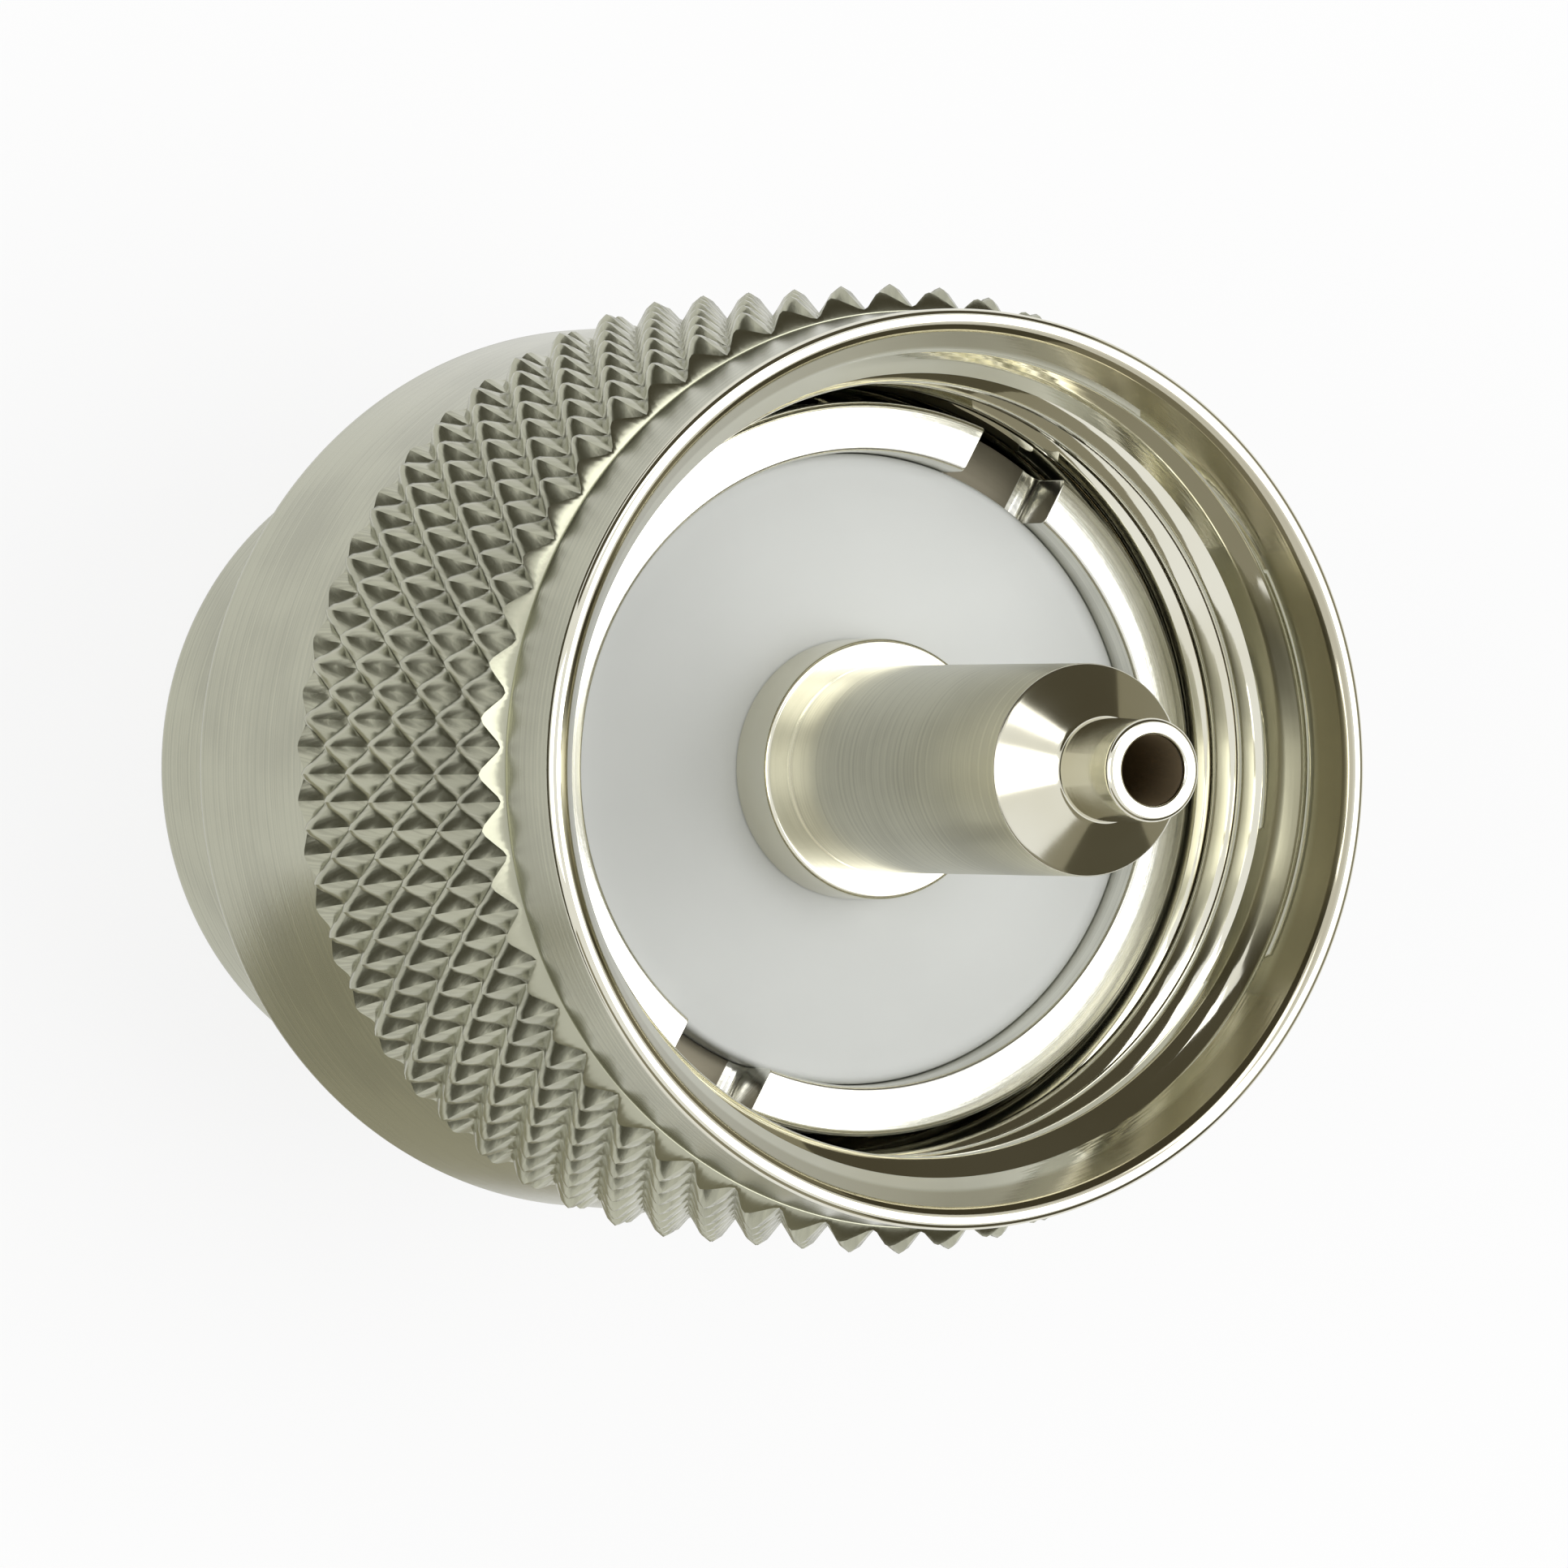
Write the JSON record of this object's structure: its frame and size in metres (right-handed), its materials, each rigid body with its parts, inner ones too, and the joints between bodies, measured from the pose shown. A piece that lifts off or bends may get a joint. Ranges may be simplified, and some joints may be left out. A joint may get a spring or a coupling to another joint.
{
  "type": "uhf connector",
  "caption": "Coaxial cable plug with a hollow centre pin, white insulator, slotted front ring, diamond-knurled coupling nut and clamping back nut.",
  "frame": {"origin": "centre of the back nut's rear face, where the plug stands", "axes": "+Z along the plug's axis, from the cable end to the tip of the centre pin; the two slots of the front ring lie along Y"},
  "size_m": [0.0186, 0.0186, 0.0299],
  "materials": {
    "nickel_knurled": "bright nickel plate, turned",
    "nickel_body": "bright nickel plate",
    "white_insulator": "matte, slightly translucent",
    "nickel_pin": "bright nickel plate",
    "spring_ring": "bare spring metal",
    "nickel_back": "satin nickel plate",
    "washer_metal": "satin nickel plate",
    "gasket_rubber": "matte",
    "clamp_metal": "satin nickel plate"
  },
  "bodies": {
    "plug_body": {"plug_body": "nickel_body", "insulator": "white_insulator", "centre_pin": "nickel_pin", "back_nut": "nickel_back", "washer": "washer_metal", "gasket": "gasket_rubber", "braid_clamp": "clamp_metal"},
    "retaining_ring": {"retaining_ring": "spring_ring"},
    "coupling_nut": {"coupling_nut": "nickel_knurled"}
  },
  "joints": [
    {"name": "nut_slide", "type": "slide", "parent": "plug_body", "child": "retaining_ring", "axis": [0, 0, 1], "range_m": [0, 0.0065]},
    {"name": "nut_turn", "type": "hinge", "parent": "retaining_ring", "child": "coupling_nut", "pos_m": [0, 0, 0.0086], "axis": [0, 0, 1], "continuous": true}
  ]
}
